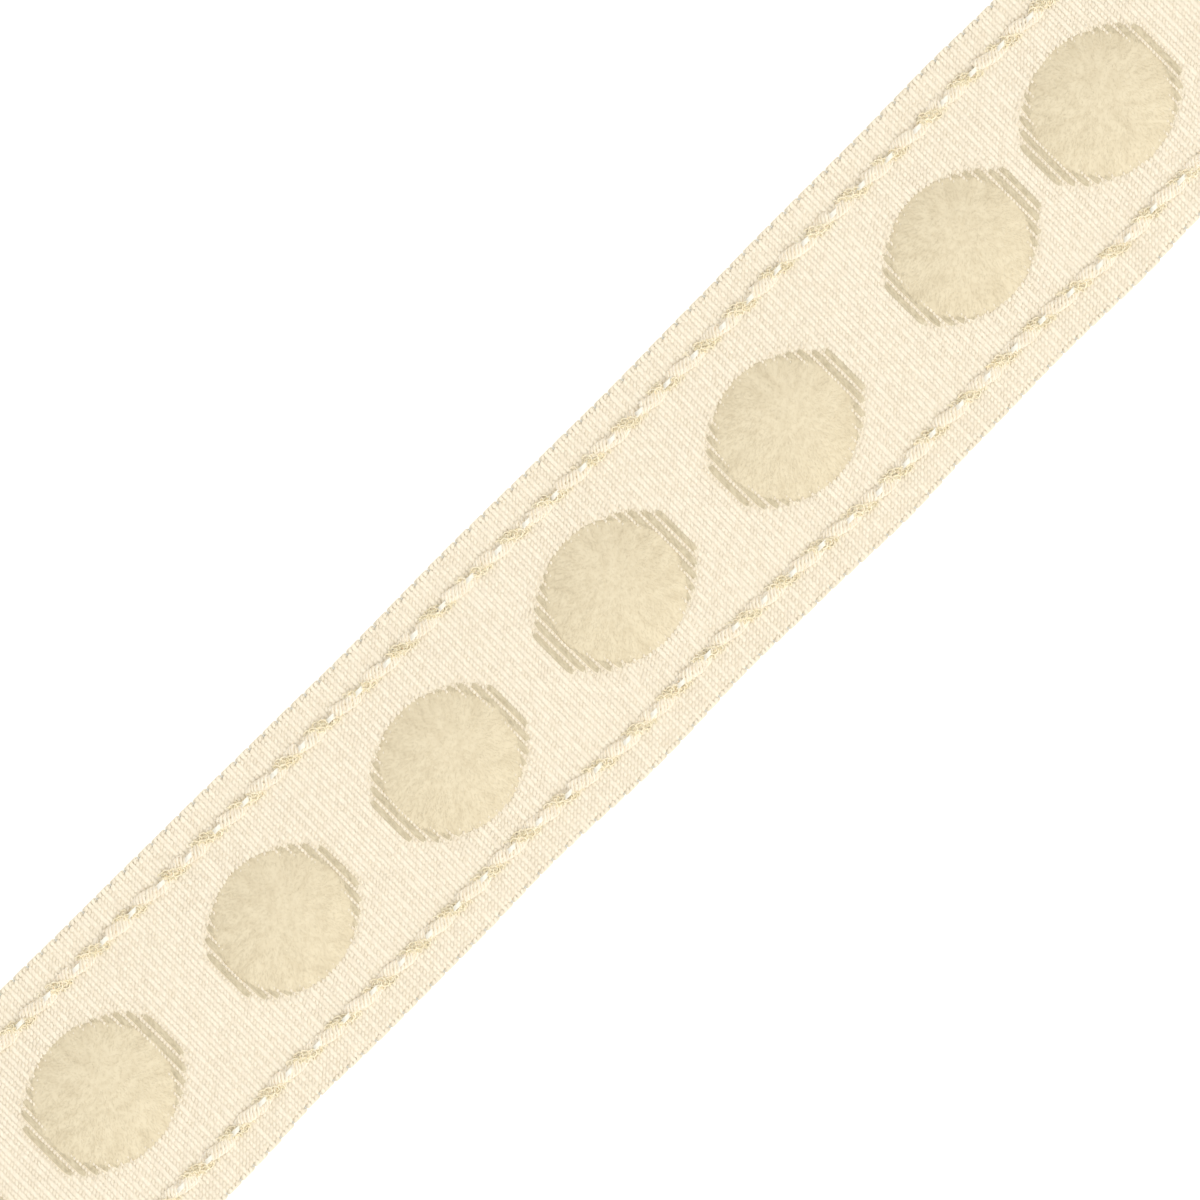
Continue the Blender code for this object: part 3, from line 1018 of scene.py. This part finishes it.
stitch_sizes = {
    "Threads": STITCH_THREADS,
    "Spacing": STITCH_SPACING,
    "Slant": STITCH_SLANT,
    "Thread": 0.085 * MM,
    "Finish": stitch_finish,
}
half_stitch = (STITCH_THREADS - 1) / 2.0
for side, lane in LANES.items():
    first = math.ceil((TAPE_START + STITCH_END_GAP - lane["PitAt"]) / lane["PitPitch"])
    last = math.floor((TAPE_START + TAPE_LENGTH - STITCH_END_GAP - lane["PitAt"]) / lane["PitPitch"])
    places = lane["PitAt"] + lane["PitPitch"] * np.arange(first, last + 1)
    points = [
        [(x - half_stitch * STITCH_SLANT, lane_at(x, side) - half_stitch * STITCH_SPACING, STITCH_HEIGHT)]
        for x in places
    ]
    name = f"couching_{lane['name']}"
    join_meshes(name, [grow(name, line_mesh(name, points), couching, **stitch_sizes)])

# %% [markdown]
# ## The cut pile
# Velvet pile is a dense stand of upright fibres cut to one height. Seen from above it is a little
# deeper in colour than the weave, because light sinks between the fibres, and it parts into soft
# streaks that run out from the middle. A soft dome stands for the mass of fibres, and a round bar for
# each short row between the ribs. Geometry Nodes store a combed place on them, which the dome's
# finish follows, and lay small tufts over them: outwards on the dome, and slanting on the rows.
# The dome's colour paints part of that depth, and its tones follow the combed streaks as painted
# shade; the rest is the pile's own olive tone. The rows are painted darker still, for the shade
# where they sink between the ribs.

# %% The dome of dense pile
PAD_SEGMENTS = 120
PAD_RINGS = 26
PAD_FOOT = 0.90 * MM
PAD_RIM = 0.12 * MM
PAD_ROUNDNESS = 2.2
TUFT_ROOM = 0.14 * MM


def pad_mesh(dot):
    """A closed low dome, a little longer along the tape than it is wide."""
    rise = dot["top"] - TUFT_ROOM - PAD_FOOT - PAD_RIM
    angles = np.arange(PAD_SEGMENTS) * TWO_PI / PAD_SEGMENTS
    rings = [(1.0, PAD_FOOT)]
    for ring in range(PAD_RINGS):
        share = math.sqrt(1.0 - ring / PAD_RINGS)
        rings.append((share, PAD_FOOT + PAD_RIM + rise * (1.0 - share**PAD_ROUNDNESS)))
    points = []
    for share, height in rings:
        for angle in angles:
            x = dot["x"] + share * dense_length(dot) * math.cos(angle)
            y = dot["y"] + share * dot["radius"] * math.sin(angle)
            points.append((x, y, height))
    return skin("pad", points, PAD_SEGMENTS)


print("dome:", len(pad_mesh(dots[0]).polygons), "faces")

# %% One tuft, and the combed field
TUFT_RIDGE = 0.25
STREAK_COUNT = 20.0
STREAK_SOFTENING = 4.0 * MM
STREAK_LENGTH = 2.5 * MM
STREAK_DRIFT = 2.5 * MM
DRIFT_SIZE = 4.5 * MM
LEVEL = (1.0, 1.0, 0.0)


def tuft_mesh():
    """A closed splinter along X, of unit size: broad at its root, highest near it, thin at its tip."""
    foot = [(0.0, -0.5, 0.0), (0.0, 0.5, 0.0), (1.0, 0.0, 0.0)]
    faces = [(0, 1, 2), (0, 3, 1), (0, 2, 3), (1, 3, 2)]
    holder = new_object("tuft", new_mesh("tuft", [*foot, (TUFT_RIDGE, 0.0, 1.0)], [], faces))
    for edge in holder.data.edges:
        edge.use_edge_sharp = max(edge.vertices) < len(foot)
    return holder


def combed_field(tree, middle_x, middle_y):
    """The way out from the dot's middle, and a place in which streaks run that way."""
    plus, times, over = sums(tree, "ADD", "MULTIPLY", "DIVIDE")
    place = add_node(tree, "GeometryNodeInputPosition").outputs[0]
    from_middle = vector_sum(tree, "SUBTRACT", place, xyz(tree, X=middle_x, Y=middle_y))
    wander = drift(tree, STREAK_DRIFT, Vector=place, Scale=1.0 / DRIFT_SIZE)
    drifted = vector_sum(tree, "ADD", from_middle, wander)
    apart = vector_sum(tree, "MULTIPLY", drifted, LEVEL)
    distance = add_node(tree, "ShaderNodeVectorMath", {0: apart}, operation="LENGTH").outputs["Value"]
    around = scaled(tree, apart, over(STREAK_COUNT, plus(distance, STREAK_SOFTENING)))
    own_start = times(middle_x, 1.0 / MM)
    along = plus(over(distance, STREAK_LENGTH), own_start)
    return apart, vector_sum(tree, "ADD", around, xyz(tree, Z=along))


tuft = tuft_mesh()
print("tuft:", len(tuft.data.polygons), "faces")

# %% Comb the pile and lay the tufts
PILE_SWELL = 2.2
FIBRE_DETAIL = 2.0
TUFT_UPRIGHT = 0.3
SHORTEST_TUFT = 0.6
LONGEST_TUFT = 1.2
LOWEST_PILE = 0.25 * MM
LOWEST_TUFT = 0.88 * MM
LEAST_FACING_UP = 0.15


def more_than(tree, value, limit):
    """Whether a value is over a limit."""
    settings = {"operation": "GREATER_THAN", "data_type": "FLOAT"}
    return add_node(tree, "FunctionNodeCompare", {0: value, 1: limit}, **settings).outputs[0]


def swollen_mass(tree, geometry, place, combed, relief):
    """Store the combed place, swell the mass a little in streaks, and keep it above the tape's back."""
    minus, times = sums(tree, "SUBTRACT", "MULTIPLY")
    mass = with_value(tree, geometry, COMBED, combed, "FLOAT_VECTOR", "POINT")
    inputs = {"Vector": combed, "Scale": 1.0 / PILE_SWELL, "Detail": FIBRE_DETAIL}
    swell = add_node(tree, "ShaderNodeTexNoise", inputs).outputs["Fac"]
    swollen = vector_sum(tree, "ADD", place, xyz(tree, Z=times(minus(swell, MIDDLE), relief)))
    # Only the height is held: no place is a whole tape's length away along X or Y.
    lowest = (-TAPE_LENGTH, -TAPE_LENGTH, LOWEST_PILE)
    inputs = {"Geometry": mass, "Position": vector_sum(tree, "MAXIMUM", swollen, lowest)}
    return add_node(tree, "GeometryNodeSetPosition", inputs).outputs[0]


def pile_tree():
    """Swell a mass of pile, and lay tufts over what faces up and isn't deep between the ribs."""
    sizes = ["MiddleX", "MiddleY", "Relief", "Density", "Outward", "Slant", "Unrest"]
    tree, given = start_tree("cut_pile", [*sizes, "Length", "Width", "Rise"], ["Seed"])
    apart, combed = combed_field(tree, given["MiddleX"], given["MiddleY"])
    place = add_node(tree, "GeometryNodeInputPosition").outputs[0]
    mass = swollen_mass(tree, given["Guide"], place, combed, given["Relief"])
    normal = add_node(tree, "GeometryNodeInputNormal").outputs[0]
    inputs = {
        "Mesh": mass,
        "Selection": more_than(tree, part_of(tree, normal, "Z"), LEAST_FACING_UP),
        "Density": given["Density"],
        "Seed": given["Seed"],
    }
    places = add_node(tree, "GeometryNodeDistributePointsOnFaces", inputs, distribute_method="RANDOM")

    upward = vector_sum(tree, "ADD", places.outputs["Normal"], (0.0, 0.0, TUFT_UPRIGHT))
    settled = add_node(tree, "FunctionNodeAlignRotationToVector", {"Vector": upward}, axis="Z")
    stirred = drift(tree, given["Unrest"], Vector=combed, Scale=1.0, Detail=FIBRE_DETAIL)
    slant = xyz(tree, X=given["Slant"], Y=given["Slant"])
    outward = vector_sum(tree, "ADD", scaled(tree, apart, given["Outward"]), slant)
    inputs = {"Rotation": settled.outputs[0], "Vector": vector_sum(tree, "ADD", outward, stirred)}
    laid = add_node(tree, "FunctionNodeAlignRotationToVector", inputs, axis="X", pivot_axis="Z")

    uneven = random_number(tree, given["Seed"], SHORTEST_TUFT, LONGEST_TUFT)
    long = sum_of(tree, "MULTIPLY", given["Length"], uneven)
    shape = add_node(tree, "GeometryNodeObjectInfo", {"Object": tuft}).outputs["Geometry"]
    inputs = {
        "Selection": more_than(tree, part_of(tree, place, "Z"), LOWEST_TUFT),
        "Rotation": laid.outputs[0],
        "Scale": xyz(tree, X=long, Y=given["Width"], Z=given["Rise"]),
    }
    tufts = copies_at(tree, places.outputs["Points"], shape, **inputs)
    combed_tufts = with_value(tree, tufts, COMBED, combed, "FLOAT_VECTOR", "INSTANCE")
    whole = add_node(tree, "GeometryNodeJoinGeometry")
    tree.links.new(combed_tufts, whole.inputs[0])
    tree.links.new(mass, whole.inputs[0])
    end_tree(tree, whole.outputs[0], given["Finish"])
    return tree


cut_pile = pile_tree()
print("pile tree:", len(cut_pile.nodes), "nodes")

# %% Rows of pile between the ribs
ROW_STEP = 0.35 * MM
FEWEST_ROW_POINTS = 3
ROW_TAPER = 1.8 * MM
ROW_DIP = 0.20 * MM
ROW_HOOK = 0.34 * MM
ROW_BED_HEIGHT = 0.54 * MM
ROW_BED_RADIUS = 0.64 * MM


def row_rails(dot):
    """Rails between the ribs, inside the dot's outline and outside its dense middle.

    Their outer ends sink and turn in a little, so that together they keep the round outline.
    """
    rails = []
    for x in thin_places:
        outer = outline_at(dot, x)
        hook = math.copysign(ROW_HOOK, dot["x"] - x)
        for start, end in sparse_stretches(dot, x):
            rail = []
            for y in np.linspace(start, end, max(FEWEST_ROW_POINTS, round((end - start) / ROW_STEP))):
                fade = max(0.0, 1.0 - (outer - abs(y)) / ROW_TAPER) ** 2
                rail.append((x + fade * hook, dot["y"] + y, ROW_BED_HEIGHT - fade * ROW_DIP))
            rails.append(rail)
    return rails


print("rows round the first dot:", len(row_rails(dots[0])))

# %% Grow every dot
TUFTS_PER_PAD = 3000
ROW_TUFTS_PER_SQUARE_MM = 16.0
PILE_SEED = 11

# The rows' beds and tufts carry the painted shade of the sunk rows.
bed_sizes = {"Step": ROW_STEP, "Radius": ROW_BED_RADIUS, "Wobble": 0.0, "Finish": sparse_row_painted_shade}
pad_sizes = {
    "Relief": 0.12 * MM,
    "Slant": -0.35,
    "Unrest": 2.4,
    "Length": 0.46 * MM,
    "Width": 0.12 * MM,
    "Rise": 0.05 * MM,
    "Finish": pile_tone_and_shade,
}
row_sizes = {
    "Relief": 0.0,
    "Density": ROW_TUFTS_PER_SQUARE_MM / MM**2,
    "Outward": 0.0,
    "Slant": 1.0,
    "Unrest": 1.4,
    "Length": 0.55 * MM,
    "Width": 0.15 * MM,
    "Rise": 0.07 * MM,
    "Finish": sparse_row_painted_shade,
}
for number, dot in enumerate(dots, start=1):
    own = {"MiddleX": dot["x"], "MiddleY": dot["y"], "Seed": PILE_SEED + number}
    density = TUFTS_PER_PAD / (math.pi * dot["radius"] ** 2)
    outward = 1.0 / dot["radius"]
    dense = grow("dense", pad_mesh(dot), cut_pile, Density=density, Outward=outward, **pad_sizes, **own)
    bed = grow("bed", line_mesh("bed", row_rails(dot)), weft_bars, **bed_sizes)
    rows = grow("rows", bed, cut_pile, **row_sizes, **own)
    join_meshes(f"cut_pile_{number}", [dense, rows])
    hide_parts(dot["node"])
# The tuft was only a pattern too.
bpy.data.objects.remove(tuft, do_unlink=True)
